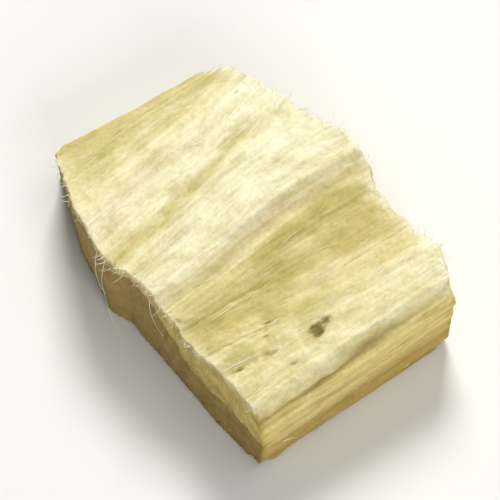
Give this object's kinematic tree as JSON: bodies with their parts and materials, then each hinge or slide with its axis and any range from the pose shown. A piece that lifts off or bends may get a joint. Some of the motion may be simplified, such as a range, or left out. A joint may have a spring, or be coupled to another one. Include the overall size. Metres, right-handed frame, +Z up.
{
  "type": "marshmallow root",
  "caption": "Chopped chunk of peeled, dried marshmallow root: a pale cream block with a ribbed outer face, two knife-cut ends, two split sides and a flat split underside to rest on.",
  "frame": {"origin": "on the resting surface, under the centre of the chunk's bounding box", "axes": "+X across the grain along the longest extent, towards the split side with the groove; +Y along the grain; +Z up, out of the ribbed outer face"},
  "size_m": [0.0126, 0.009, 0.0043],
  "materials": {
    "root_piece": "dry, matt, fibrous"
  },
  "bodies": {
    "root": {"root_piece": "root_piece"}
  },
  "joints": []
}
